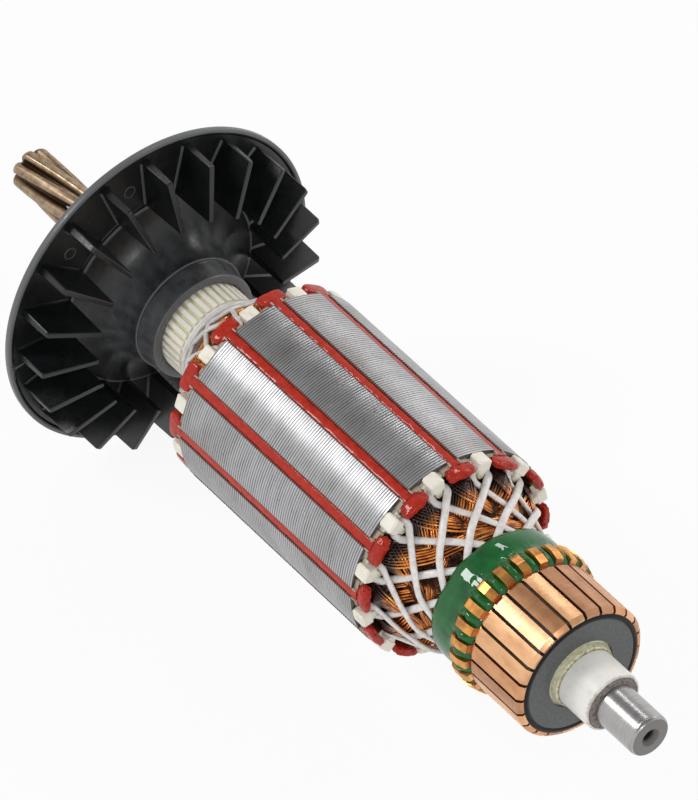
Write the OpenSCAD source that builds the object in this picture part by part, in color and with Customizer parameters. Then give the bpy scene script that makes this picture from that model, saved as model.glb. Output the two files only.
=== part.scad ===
// Armature of a commutator motor for a hand-held power tool, wound and laced.
// The shaft lies along X with the commutator end toward +X, and Z is up.
// The origin is the middle of the bearing seat at the commutator end.
// Angles are measured about X, from +Y toward +Z.

/* [Shaft] */
// Diameter of the bearing seat at the commutator end
seat_d = 8; // [7:0.5:9]
// Length of the bearing seat at the commutator end
seat_len = 9; // [7:0.5:10]
// Diameter of the shaft under its insulating sleeve
shaft_d = 10.2; // [9.8:0.1:10.4]
// Diameter of the bearing seat at the drive end, larger than the pinion
drive_seat_d = 9; // [8.2:0.1:9.4]
// Length of the bearing seat at the drive end
drive_seat_len = 9.5; // [8:0.5:11]
// Outside diameter of the insulating sleeve at the commutator end
sleeve_d = 11.3; // [11:0.1:11.6]

/* [Pinion] */
// Number of helical teeth cut in the end of the shaft
pinion_teeth = 7; // [6:1:9]
// Outside diameter of the teeth
pinion_d = 8.5; // [7.6:0.1:8.7]
// Diameter at the roots of the teeth
pinion_root_d = 5.7; // [5:0.1:6.2]
// Length of the toothed end
pinion_len = 18.7; // [14:0.1:20]
// Twist of the teeth in degrees for each millimetre of length
pinion_lead = 2.9; // [1.5:0.1:3.5]

/* [Core] */
// Diameter of the stack of laminations
core_d = 40; // [39.5:0.5:42]
// Length of the stack of laminations
core_len = 48.8; // [30:0.2:70]
// Width of the slot mouths between the teeth
mouth_w = 2.3; // [2:0.1:2.6]

/* [Commutator] */
// Diameter of the brush track
track_d = 26.2; // [26:0.1:26.6]
// Length of the brush track
track_len = 13.2; // [10:0.2:16]
// Angle left open between two neighbouring bars
bar_gap = 2.6; // [1.8:0.1:3.2]
// Width of the hook on each bar
hook_w = 1.65; // [1.2:0.05:2]

/* [Lacing] */
// Diameter of the waxed lacing cord
cord_d = 1.1; // [0.7:0.1:1.1]
// Turn of the upper cords between their post and the neck
upper_turn = 45; // [30:1:55]
// Turn of the lower cords between their post and the neck
lower_turn = 32; // [20:1:40]

/* [Fan] */
// Outside diameter of the fan
fan_d = 64; // [62:1:70]
// Number of vanes
vane_count = 21; // [9:1:24]
// Thickness of a vane
vane_t = 1.05; // [0.8:0.05:1.4]
// Height of the vanes at their outer edge
vane_h = 7.6; // [5:0.1:9]

/* [Hidden] */
$fn = 72;
overcut = 1;

// Counts and angular pitches
slots = 12;
slot_pitch = 360 / slots;
slot_angle = 26.5;
bars = 24;
bar_pitch = 360 / bars;
bar_angle = 4;
vane_angle = -8.7;

// Radii
core_r = core_d / 2;
sleeve_r = sleeve_d / 2;
shaft_r = shaft_d / 2;
track_r = track_d / 2;
fan_r = fan_d / 2;
cord_r = cord_d / 2;

// Stations along the shaft, from the commutator end to the drive end
end_chamfer = 0.95;
x_end = seat_len / 2 + end_chamfer;
x_shoulder = -seat_len / 2;
x_face = x_shoulder - 8.65;
x_bar_front = x_face - 0.1;
x_bar_step = x_bar_front - track_len;
x_bar_rear = x_bar_step - 4.1;
x_hub_rear = x_bar_rear - 1.4;
x_neck = x_hub_rear - 5.2;
x_core_front = x_neck - 13.3;
x_core_rear = x_core_front - core_len;
x_band = x_core_rear - 13.6;
x_splines = x_band - 2.2;
x_collar = x_splines - 4.7;
x_plate = x_collar - 13.8;
x_drive_seat = x_plate - 3.4;
x_pinion_neck = x_drive_seat - drive_seat_len;
x_teeth = x_pinion_neck - 7.6;
x_tip = x_teeth - pinion_len;

// Narrows the grooves between the pinion's teeth
groove_power = 2.6;

// Slot section, as distances from the axis
slot_mouth_r = 19.45;
slot_shoulder_r = 19.1;
slot_wide_r = 18.2;
slot_floor_r = 10.6;
slot_shoulder_w = 5.5;
slot_wide_w = 5.9;
slot_floor_w = 2.7;
liner_t = 0.25;
wedge_under_r = 18.5;
wedge_top_r = 19.8;
wedge_reach = 3.9;

// End insulators
insulator_t = 1;
insulator_r = core_r - 0.3;
insulator_neck_r = 7.2;
insulator_neck_len = 7;
post_w = 2.8;
post_len = 2.9;
post_foot_r = 17.9;
lip_w = 1.5;
lip_r = 16.3;
lip_back = insulator_t + 1.15;

// Rear end of the shaft sleeve, which carries the winding neck and the fan
rear_sleeve_r = 7.4;
band_seat_r = 8.4;
spline_root_r = 8.35;
spline_r = 8.8;
splines = 36;
spline_w = 0.85;

// Winding neck, and the seats of hooks, varnish and adhesive round the commutator hub
winding_neck_r = 11.7;
hub_tail_r = 11.2;
hub_rib_r = 12;
hub_rim_r = 12.3;
face_r = 10.95;
hook_seat_r = 12.65;
adhesive_r = 6.7;
adhesive_depth = 2;

// Radius at which the cords rest on the coil ends, three millimetres from the core, and its fall
rest_r = 15.3;
front_fall = 0.345;
rear_fall = 0.62;
rear_turn = 28;

function arc(cx, cy, r, from, to, steps) =
    [for (i = [0:steps]) let (a = from + (to - from) * i / steps) [cx + r * cos(a), cy + r * sin(a)]];
function polar(x, r, a) = [x, r * cos(a), r * sin(a)];
function unit(v) = v / norm(v);
function at_slot(i) = slot_angle + slot_pitch * i;
function at_tooth(i) = slot_angle + slot_pitch * (i + 0.5);

// A profile of [x, r] points turned about the shaft axis
module turned(points, angle = 360) {
    rotate([0, 90, 0])
        rotate_extrude(angle = angle)
            polygon([for (p = points) [p[1], p[0]]]);
}

// A flat [y, z] section run along the shaft
module along_shaft(from, length) {
    translate([from, 0, 0])
        rotate([90, 0, 90])
            linear_extrude(length)
                children();
}

// A flat [x, r] plate that stands on the axis at an angle about it
module radial_plate(points, thickness, angle) {
    rotate([angle, 0, 0])
        linear_extrude(thickness, center = true)
            polygon(points);
}

// A tube swept along points; the ring at each point is radii[0] wide and radii[1] high
module swept(path, radii, sides = 6) {
    last = len(path) - 1;
    rings = [for (i = [0:last])
        let (ahead = unit(path[min(i + 1, last)] - path[max(i - 1, 0)]),
            out = [0, path[i][1], path[i][2]],
            up = unit(out - (out * ahead) * ahead),
            side = cross(ahead, up))
        [for (k = [0:sides - 1]) path[i] + radii[i][0] * cos(k * 360 / sides) * side
            + radii[i][1] * sin(k * 360 / sides) * up]];
    skinned(rings);
}

// A closed body whose skin runs over a row of rings with equal numbers of points
module skinned(rings) {
    last = len(rings) - 1;
    sides = len(rings[0]);
    walls = [for (i = [0:last - 1], k = [0:sides - 1], upper = [0, 1])
        let (a = i * sides + k, b = i * sides + (k + 1) % sides)
        upper == 0 ? [a, b, b + sides] : [a, b + sides, a + sides]];
    caps = [[for (k = [sides - 1:-1:0]) k], [for (k = [0:sides - 1]) last * sides + k]];
    polyhedron([for (ring = rings, p = ring) p], concat(walls, caps), convexity = 4);
}

// ---- Shaft ----

// Tooth outline of the pinion, with broad rounded crests and narrow grooves
function pinion_radius(a) =
    let (wave = cos(pinion_teeth * a), crest = 1 - 2 * pow((1 - wave) / 2, groove_power))
    (pinion_d + pinion_root_d) / 4 + (pinion_d - pinion_root_d) / 4 * crest;

// The helical teeth, chamfered at the tip, ring by ring up to the plain shaft
module pinion_cut() {
    chamfer = 0.9;
    rings = 14;
    points = pinion_teeth * 8;
    body_len = pinion_len + 0.3 - chamfer;
    stations = concat([[0, 0.8]], [for (k = [0:rings]) [chamfer + body_len * k / rings, 1]]);
    skinned([for (s = stations)
        [for (i = [0:points - 1])
            let (a = -360 * i / points)
            polar(x_tip + s[0], s[1] * pinion_radius(a), a - pinion_lead * s[0])]]);
}

module shaft() {
    root_r = pinion_root_d / 2;
    tip_r = pinion_d / 2;
    seat_r = seat_d / 2;
    drive_r = drive_seat_d / 2;
    neck_r = tip_r + 0.06;
    core_end = x_tip + 1.2;
    runout = 6;
    centre_r = 1.7;
    pilot_r = 1;
    outline = concat(
        [[core_end, 0], [core_end, root_r - 0.3]],
        [for (i = [0:3]) let (t = i / 3)
            [x_teeth - runout * (1 - t), root_r - 0.3 + (neck_r - root_r + 0.3) * pow(t, 1.5)]],
        [[x_pinion_neck, neck_r], [x_pinion_neck + 0.2, drive_r],
         [x_drive_seat, drive_r], [x_drive_seat, shaft_r], [x_shoulder - 0.3, shaft_r],
         [x_shoulder, shaft_r - 0.3], [x_shoulder, seat_r], [x_end - end_chamfer, seat_r],
         [x_end - 0.75, seat_r - 0.15], [x_end - 0.6, seat_r - 0.05], [x_end - 0.2, seat_r - 0.25],
         [x_end, seat_r - 0.5], [x_end, centre_r], [x_end - 1.2, pilot_r], [x_end - 4, pilot_r],
         [x_end - 4.6, 0]]);
    color("silver")
        turned(outline);
    color("darkkhaki")
        pinion_cut();
}

// ---- Insulating sleeve moulded on the shaft, with the splined seat of the fan ----

module spline_section() {
    intersection() {
        circle(spline_r);
        union() {
            circle(spline_root_r);
            for (i = [0:splines - 1])
                rotate(360 / splines * (i + 0.5))
                    translate([0, -spline_w / 2])
                        square([spline_r + 1, spline_w]);
        }
    }
}

module shaft_sleeve() {
    x_spline_end = x_plate + 2;
    front_round = 0.5;
    color("ivory") {
        turned(concat(
            [[x_shoulder - 0.35, shaft_r]],
            arc(x_shoulder - 0.1 - front_round, sleeve_r - front_round, front_round, 0, 90, 4),
            [[x_core_rear - insulator_t, sleeve_r], [x_core_rear - insulator_t, rear_sleeve_r],
             [x_band + 1, rear_sleeve_r], [x_band, band_seat_r], [x_splines, band_seat_r],
             [x_splines, shaft_r]]));
        difference() {
            along_shaft(x_spline_end, x_splines - x_spline_end)
                spline_section();
            along_shaft(x_spline_end - overcut, x_splines - x_spline_end + 2 * overcut)
                circle(shaft_r);
        }
    }
}

// ---- Laminated core, its insulation and wedges ----

// Half the slot outline, narrowed by an inset, from its floor to above its mouth
function slot_side(inset, top) = [
    [slot_floor_r + inset, slot_floor_w / 2 - inset],
    [slot_wide_r, slot_wide_w / 2 - inset],
    [slot_shoulder_r, slot_shoulder_w / 2 - inset],
    [slot_mouth_r, mouth_w / 2 - inset],
    [top, mouth_w / 2 - inset]];

module slot_shape(inset, top) {
    side = slot_side(inset, top);
    polygon(concat(side, [for (i = [len(side) - 1:-1:0]) [side[i][0], -side[i][1]]]));
}

module slot_shapes(inset, top) {
    for (i = [0:slots - 1])
        rotate(at_slot(i))
            slot_shape(inset, top);
}

module lamination_stack() {
    color("lightslategray")
        along_shaft(x_core_rear, core_len)
            difference() {
                circle(core_r);
                circle(sleeve_r);
                slot_shapes(0, core_r + overcut);
            }
}

module slot_liners() {
    reach = core_len + 2 * insulator_t;
    color("saddlebrown")
        along_shaft(x_core_rear - insulator_t, reach)
            difference() {
                slot_shapes(0, core_r - 0.1);
                slot_shapes(liner_t, core_r + overcut);
            }
}

// A slot wedge: a wide strip held under the tooth tips, with a rib that fills the mouth
module slot_wedge(i) {
    half = slot_shoulder_w / 2 - liner_t;
    rib = mouth_w / 2 - liner_t - 0.05;
    color("firebrick")
        rotate([at_slot(i), 0, 0])
            difference() {
                along_shaft(x_core_rear - wedge_reach, core_len + 2 * wedge_reach)
                    polygon([[wedge_under_r, -half], [slot_shoulder_r, -half], [slot_mouth_r, -rib],
                        [wedge_top_r, -rib], [wedge_top_r, rib], [slot_mouth_r, rib],
                        [slot_shoulder_r, half], [wedge_under_r, half]]);
                for (end = [x_core_rear - wedge_reach, x_core_front + wedge_reach])
                    translate([end, wedge_top_r, 0])
                        rotate([0, 0, 45])
                            cube([1.2, 1.2, slot_wide_w], center = true);
            }
}

// A post on the end insulator, with an inner lip that holds the lacing cord
module lacing_post(angle) {
    bevel = 0.5;
    top = core_r - 0.1;
    rotate([angle, 0, 0]) {
        intersection() {
            linear_extrude(post_w, center = true)
                polygon([[0, post_foot_r], [0, top], [post_len - bevel, top],
                    [post_len, top - bevel], [post_len, post_foot_r]]);
            along_shaft(0, post_len)
                polygon([[post_foot_r, -post_w / 2], [top - bevel, -post_w / 2],
                    [top, -post_w / 2 + bevel], [top, post_w / 2 - bevel],
                    [top - bevel, post_w / 2], [post_foot_r, post_w / 2]]);
        }
        linear_extrude(lip_w, center = true)
            polygon([[lip_back, lip_r + 0.3], [lip_back + 0.3, lip_r], [post_len - 0.2, lip_r],
                [post_len, lip_r + 0.3], [post_len, post_foot_r], [lip_back, post_foot_r]]);
    }
}

// An end insulator as it stands on a core face at x = 0, facing +X
module end_insulator(inner_r) {
    difference() {
        union() {
            along_shaft(0, insulator_t)
                circle(insulator_r);
            along_shaft(0, insulator_neck_len)
                circle(max(insulator_neck_r, inner_r + 0.8));
        }
        along_shaft(-overcut, insulator_neck_len + 2 * overcut)
            circle(inner_r);
        along_shaft(-overcut, insulator_t + 2 * overcut)
            slot_shapes(0, core_r + overcut);
    }
    for (i = [0:slots - 1])
        lacing_post(at_tooth(i));
}

module front_end_insulator() {
    color("linen")
        translate([x_core_front, 0, 0])
            end_insulator(sleeve_r);
}

module rear_end_insulator() {
    color("linen") {
        translate([x_core_rear, 0, 0])
            mirror([1, 0, 0])
                rear_insulator_shape();
    }
}

// The rear insulator has no neck, because the shaft sleeve is thicker there
module rear_insulator_shape() {
    difference() {
        along_shaft(0, insulator_t)
            circle(insulator_r);
        along_shaft(-overcut, insulator_t + 2 * overcut) {
            circle(sleeve_r);
            slot_shapes(0, core_r + overcut);
        }
    }
    for (i = [0:slots - 1])
        lacing_post(at_tooth(i));
}

// ---- Winding ----

// Stations of one coil end bundle: distance from the core, turn, radius, half width, half height
front_bundle = [[0.8, 0, 14.9, 1.8, 2.3], [2.4, 0, 14.9, 2.8, 2.2], [4.6, 7, 13.2, 3, 1.5],
    [7, 19, 12.2, 2.8, 1.5], [9.5, 33, 11.6, 2.5, 1.2], [12, 48, 11, 2, 0.8]];
rear_bundle = [[0.8, 0, 14.9, 1.8, 2.3], [2.4, 0, 14.9, 2.8, 2.2], [4.6, 7, 12.2, 3, 1.5],
    [7, 19, 10.6, 2.6, 1.5], [9.5, 33, 9.7, 2.2, 1.1], [11.6, 45, 8.7, 1.4, 0.6]];

module coil_ends(bundle) {
    for (i = [0:slots - 1])
        swept([for (b = bundle) polar(b[0], b[2], at_slot(i) + b[1])],
            [for (b = bundle) [b[3], b[4]]]);
}

module winding() {
    neck = x_neck - x_core_front;
    leads = x_hub_rear - x_core_front;
    color("peru") {
        along_shaft(x_core_rear - insulator_t, core_len + 2 * insulator_t)
            intersection() {
                slot_shapes(liner_t, wedge_under_r);
                circle(wedge_under_r - 0.1, $fn = 24);
            }
        translate([x_core_front, 0, 0]) {
            turned([[insulator_t, insulator_neck_r], [insulator_t, 14.6], [3, 14.2], [8, 12],
                [neck - 1.2, 10.9], [neck, winding_neck_r], [neck + 2 * cord_d, winding_neck_r],
                [leads, hub_tail_r], [leads, insulator_neck_r]], $fn = 36);
            coil_ends(front_bundle);
        }
        translate([x_core_rear, 0, 0])
            mirror([1, 0, 0]) {
                turned([[insulator_t, rear_sleeve_r], [insulator_t, 14.6], [3, 13.8], [8, 10.5],
                    [12, 8.8], [12.6, 8.4], [12.6, rear_sleeve_r]], $fn = 36);
                coil_ends(rear_bundle);
            }
    }
}

// ---- Lacing ----

// Radius on which the lower cords lie, at a distance from the core face
function front_rest(u) = rest_r - front_fall * (u - 3);
function rear_rest(u) = rest_r - rear_fall * (u - 3);

// One bight of cord: from the neck to a post, round its lip, and back to the neck
function bight(angle, neck_u, neck_r, rest, up_turn, down_turn) =
    let (cross_u = 4.4, span = neck_u - cross_u)
    concat(
        [polar(neck_u, neck_r, angle + up_turn), polar(neck_u - 0.8, neck_r, angle + up_turn)],
        [for (k = [3:-1:1]) let (u = cross_u + span * k / 4)
            polar(u, rest(u) + 3 * cord_r - (k == 3 ? 0.25 : 0), angle + up_turn * k / 4)],
        [polar(cross_u, 16.9, angle), polar(2.6, 17, angle - 6.2), polar(1.57, 17.2, angle - 4.6),
         polar(1.57, 17.3, angle), polar(1.57, 17.2, angle + 4.6), polar(2.6, 16.7, angle + 6.2),
         polar(cross_u, 15.8, angle)],
        [for (k = [1:3]) let (u = cross_u + span * k / 4)
            polar(u, rest(u) + cord_r, angle - down_turn * k / 4)],
        [polar(neck_u - 0.8, neck_r, angle - down_turn), polar(neck_u, neck_r, angle - down_turn)]);

module lacing(neck_u, neck_r, rest, up_turn, down_turn) {
    for (i = [0:slots - 1]) {
        path = bight(at_tooth(i), neck_u, neck_r, rest, up_turn, down_turn);
        swept(path, [for (p = path) [cord_r, cord_r]]);
    }
    for (turn = [0, 1])
        rotate([0, 90, 0])
            rotate_extrude($fn = 36)
                translate([neck_r, neck_u + turn * cord_d * 0.98])
                    circle(cord_r, $fn = 8);
}

module front_lacing_cord() {
    color("whitesmoke")
        translate([x_core_front, 0, 0])
            lacing(x_neck - x_core_front + cord_r, winding_neck_r + cord_r + 0.05,
                function (u) front_rest(u), upper_turn, lower_turn);
}

module rear_lacing_cord() {
    color("whitesmoke")
        translate([x_core_rear, 0, 0])
            mirror([1, 0, 0])
                lacing(x_core_rear - x_band + cord_r, band_seat_r + cord_r + 0.05,
                    function (u) rear_rest(u), rear_turn, rear_turn);
}

// ---- Commutator ----

// Section of a bar, with the dovetail that the hub holds
bar_section = let (web_r = 10.9, dovetail_r = 9.3) [
    [x_bar_front - 0.7, track_r], [x_bar_front, track_r - 0.65], [x_bar_front, 11.9],
    [x_bar_front - 1.3, web_r], [x_bar_front - 3.3, web_r], [x_bar_front - 4.4, dovetail_r],
    [x_bar_step + 1.4, dovetail_r], [x_bar_step + 0.3, web_r], [x_bar_rear + 0.9, web_r],
    [x_bar_rear, 11.6], [x_bar_rear, hook_seat_r], [x_bar_step, hook_seat_r], [x_bar_step + 0.3, track_r]];

// Section of the hook that is bent back over the wires and fused down on the bar
hook_section = let (bend_x = x_bar_rear + 0.35, bend_r = 13.15, out = 1.1, inner = 0.45) concat(
    arc(bend_x, bend_r, out, 270, 90, 8),
    [[bend_x + 1.6, bend_r + out], [x_bar_step - 0.5, bend_r + out - 0.45],
     [x_bar_step - 0.3, hook_seat_r], [x_bar_step - 1.1, hook_seat_r],
     [x_bar_step - 1.25, bend_r + inner - 0.35],
     [bend_x + 1.6, bend_r + inner]],
    arc(bend_x, bend_r, inner, 90, 270, 6),
    [[bend_x + 0.8, bend_r - inner], [bend_x + 0.8, bend_r - out]]);

module bar_body(angle) {
    rotate([angle + 90 - (bar_pitch - bar_gap) / 2, 0, 0])
        turned(bar_section, bar_pitch - bar_gap);
}

module commutator_bar(i) {
    angle = bar_angle + bar_pitch * i;
    color(i % 2 == 0 ? "peru" : "sandybrown") {
        bar_body(angle);
        radial_plate(hook_section, hook_w, angle);
    }
}

module commutator_hub() {
    color("dimgray")
        difference() {
            turned([[x_hub_rear, sleeve_r], [x_hub_rear, hub_tail_r], [x_hub_rear + 0.8, hub_rib_r],
                [x_bar_rear, hub_rib_r], [x_bar_rear, hub_rim_r], [x_bar_front - 0.65, hub_rim_r],
                [x_bar_front - 0.3, hub_rim_r - 0.25], [x_bar_front - 0.2, face_r + 0.35],
                [x_face - 0.05, face_r + 0.15], [x_face, face_r], [x_face, adhesive_r],
                [x_face - adhesive_depth, adhesive_r], [x_face - adhesive_depth, sleeve_r]]);
            for (i = [0:bars - 1])
                bar_body(bar_angle + bar_pitch * i);
        }
}

module adhesive_ring() {
    color("khaki")
        turned([[x_face - adhesive_depth, sleeve_r], [x_face - adhesive_depth, adhesive_r],
            [x_face - 0.6, adhesive_r], [x_face - 0.3, adhesive_r - 0.5],
            [x_face + 0.9, adhesive_r - 0.65], [x_face + 1.2, sleeve_r + 0.2], [x_face + 1.25, sleeve_r]]);
}

module varnish_ring() {
    edge = x_neck - 0.1;
    cord_top_r = winding_neck_r + cord_d + 0.05;
    cord_end = x_neck + 2 * cord_d;
    color("darkgreen")
        difference() {
            turned([[edge, cord_top_r], [edge, 13], [edge + 0.8, 13.3], [edge + 2.6, 13.2],
                [x_hub_rear, 13.15], [x_hub_rear + 1.2, 13.4], [x_bar_rear + 1.6, 13.65],
                [x_bar_step - 0.9, 13.5], [x_bar_step - 0.35, hook_seat_r], [x_bar_rear, hook_seat_r],
                [x_bar_rear, hub_rib_r], [x_hub_rear + 0.8, hub_rib_r], [x_hub_rear, hub_tail_r],
                [cord_end, winding_neck_r], [cord_end, cord_top_r]]);
            for (i = [0:bars - 1])
                radial_plate(hook_section, hook_w, bar_angle + bar_pitch * i);
        }
}

// ---- Fan ----

module fan_vane(angle) {
    foot = x_plate - 0.2;
    outer_r = fan_r - 2;
    inner_r = 19.8;
    inner_h = vane_h + 2.7;
    radial_plate([[foot, outer_r], [x_plate + vane_h - 0.25, outer_r], [x_plate + vane_h, outer_r - 0.25],
        [x_plate + inner_h, inner_r + 0.4], [x_plate + inner_h - 0.1, inner_r], [foot, inner_r]],
        vane_t, angle);
}

module fan() {
    collar_r = 10.65;
    collar_len = 4.4;
    wall = 1.7;
    flare_r = 19.6;
    x_flare = x_collar - collar_len;
    flare_len = x_flare - x_plate - 0.7;
    back = x_plate - 1.6;
    horn_r = collar_r + 0.75;
    flare = [for (i = [0:8]) let (a = 90 * i / 8)
        [x_flare - flare_len * sin(a), horn_r + (flare_r - horn_r) * (1 - cos(a))]];
    pocket = [for (i = [8:-1:3]) let (a = 90 * i / 8)
        [x_flare - (flare_len + wall) * sin(a), horn_r + (flare_r - horn_r) * (1 - cos(a)) - wall * cos(a)]];
    color("dimgray") {
        turned(concat(
            [[back, spline_r], [x_collar - 0.5, spline_r], [x_collar, spline_r + 0.4],
             [x_collar, collar_r - 0.3], [x_collar - 0.3, collar_r], [x_flare + 0.2, collar_r + 0.35]],
            flare,
            [[x_plate + 0.5, flare_r + 0.4], [x_plate, flare_r + 0.5], [x_plate, fan_r - 1.1],
             [x_plate + 0.35, fan_r - 0.6], [x_plate + 0.35, fan_r - 0.15], [x_plate + 0.2, fan_r],
             [x_plate - 0.8, fan_r], [back, fan_r - 1.6]],
            [[back, flare_r], [back + 0.05, flare_r - 0.2]],
            pocket,
            [[back + 3, spline_r + wall], [back, spline_r + wall]]));
        for (i = [0:vane_count - 1])
            fan_vane(vane_angle + 360 / vane_count * i);
    }
}

shaft();
shaft_sleeve();
lamination_stack();
front_end_insulator();
rear_end_insulator();
slot_liners();
slot_wedge(0);  // slot_wedge_01
slot_wedge(1);  // slot_wedge_02
slot_wedge(2);  // slot_wedge_03
slot_wedge(3);  // slot_wedge_04
slot_wedge(4);  // slot_wedge_05
slot_wedge(5);  // slot_wedge_06
slot_wedge(6);  // slot_wedge_07
slot_wedge(7);  // slot_wedge_08
slot_wedge(8);  // slot_wedge_09
slot_wedge(9);  // slot_wedge_10
slot_wedge(10);  // slot_wedge_11
slot_wedge(11);  // slot_wedge_12
winding();
front_lacing_cord();
rear_lacing_cord();
varnish_ring();
commutator_hub();
adhesive_ring();
commutator_bar(0);  // commutator_bar_01
commutator_bar(1);  // commutator_bar_02
commutator_bar(2);  // commutator_bar_03
commutator_bar(3);  // commutator_bar_04
commutator_bar(4);  // commutator_bar_05
commutator_bar(5);  // commutator_bar_06
commutator_bar(6);  // commutator_bar_07
commutator_bar(7);  // commutator_bar_08
commutator_bar(8);  // commutator_bar_09
commutator_bar(9);  // commutator_bar_10
commutator_bar(10);  // commutator_bar_11
commutator_bar(11);  // commutator_bar_12
commutator_bar(12);  // commutator_bar_13
commutator_bar(13);  // commutator_bar_14
commutator_bar(14);  // commutator_bar_15
commutator_bar(15);  // commutator_bar_16
commutator_bar(16);  // commutator_bar_17
commutator_bar(17);  // commutator_bar_18
commutator_bar(18);  // commutator_bar_19
commutator_bar(19);  // commutator_bar_20
commutator_bar(20);  // commutator_bar_21
commutator_bar(21);  // commutator_bar_22
commutator_bar(22);  // commutator_bar_23
commutator_bar(23);  // commutator_bar_24
fan();
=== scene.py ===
"""Looks of the motor armature: strands, cords, resin, varnish, fan, materials and studio.

Sizes in this script are in millimetres along the shaft (x) and round it (radius, turn in
degrees from +Y toward +Z). The function at() turns them into the frame's metres.
"""

import math
import random

import bpy
from mathutils import Matrix, Vector, noise


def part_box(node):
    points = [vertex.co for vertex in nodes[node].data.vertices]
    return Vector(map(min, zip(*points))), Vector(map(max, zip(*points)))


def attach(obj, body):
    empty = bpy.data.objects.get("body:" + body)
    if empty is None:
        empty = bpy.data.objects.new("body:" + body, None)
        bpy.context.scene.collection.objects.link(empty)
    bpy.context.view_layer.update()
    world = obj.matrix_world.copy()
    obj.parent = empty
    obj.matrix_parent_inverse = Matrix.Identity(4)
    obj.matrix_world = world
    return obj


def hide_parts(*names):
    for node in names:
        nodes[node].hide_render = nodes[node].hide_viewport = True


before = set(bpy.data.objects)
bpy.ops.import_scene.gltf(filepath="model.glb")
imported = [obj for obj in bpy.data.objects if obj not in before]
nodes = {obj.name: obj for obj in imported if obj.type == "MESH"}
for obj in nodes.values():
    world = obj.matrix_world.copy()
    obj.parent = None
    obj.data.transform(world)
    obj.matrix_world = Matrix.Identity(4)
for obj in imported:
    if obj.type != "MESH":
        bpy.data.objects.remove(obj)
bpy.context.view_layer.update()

MM = 0.001


# ---- Places ----

def at(x, radius, turn):
    """The point at a station, a radius and a turn about the shaft."""
    angle = math.radians(turn)
    return Vector((x, radius * math.cos(angle), radius * math.sin(angle))) * MM


def beside(x, radius, offset, turn):
    """A point at a radius along a turn, moved sideways by an offset."""
    angle = math.radians(turn)
    return Vector((x, radius * math.cos(angle) - offset * math.sin(angle),
                   radius * math.sin(angle) + offset * math.cos(angle))) * MM


def ends(node):
    """The rear and front station of a node."""
    low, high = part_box(node)
    return low.x / MM, high.x / MM


def radius_of(node):
    """The outer radius of a node that goes all round the shaft."""
    return max(v.co.yz.length for v in nodes[node].data.vertices) / MM


def turn_of(node):
    """The turn at which a node stands beside the shaft."""
    low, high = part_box(node)
    middle = (low + high) / 2
    return math.degrees(math.atan2(middle.z, middle.y))


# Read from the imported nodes
wedge_names = sorted(n for n in nodes if n.startswith("slot_wedge"))
bar_names = sorted(n for n in nodes if n.startswith("commutator_bar"))
slot_turns = [turn_of(n) for n in wedge_names]
bar_turns = [turn_of(n) for n in bar_names]
slot_pitch = 360 / len(slot_turns)
bar_pitch = 360 / len(bar_turns)
tooth_turns = [t + slot_pitch / 2 for t in slot_turns]

core_rear, core_front = ends("lamination_stack")
core_r = radius_of("lamination_stack")
shaft_tip, shaft_end = ends("shaft")
fan_back, fan_collar = ends("fan")
fan_r = radius_of("fan")
hub_rear, hub_face = ends("commutator_hub")
neck = ends("varnish_ring")[0] + 0.1
rear_neck = ends("rear_lacing_cord")[0]
wedge_reach = ends("slot_wedge_01")[1] - core_front

# Sizes that the boxes of the nodes don't give
sheet = 0.56
cord_r = 0.55
seat_r = 4.0
centre_cone_r = 1.7
centre_hole_r = 1.0
shoulder = shaft_end - 9.95
track_len = 13.3
hook_foot_r = 13.3
hub_rim_r = 12.3
hub_face_r = 10.95
spline_root_r = 8.35
spline_front = core_rear - 15.6
flare_r = 19.6
pinion_tip_r = 4.25
pinion_root_r = 2.85
pinion_len = 18.7


# ---- Mesh building ----

def new_object(name, data):
    """An object with its data, linked to the scene."""
    thing = bpy.data.objects.new(name, data)
    bpy.context.scene.collection.objects.link(thing)
    return thing


def quarter(x, radius, length, height, angles):
    """Points of an ellipse about (x, radius), from angle 0 at its low side to 90 behind it."""
    return [(x - length * math.sin(math.radians(a)), radius - height * math.cos(math.radians(a)))
            for a in angles]


def ring_noise(turn, scale, depth):
    """Noise that closes on itself round the shaft."""
    angle = math.radians(turn)
    return noise.noise(Vector((math.cos(angle) * scale, math.sin(angle) * scale, depth)))


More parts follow.
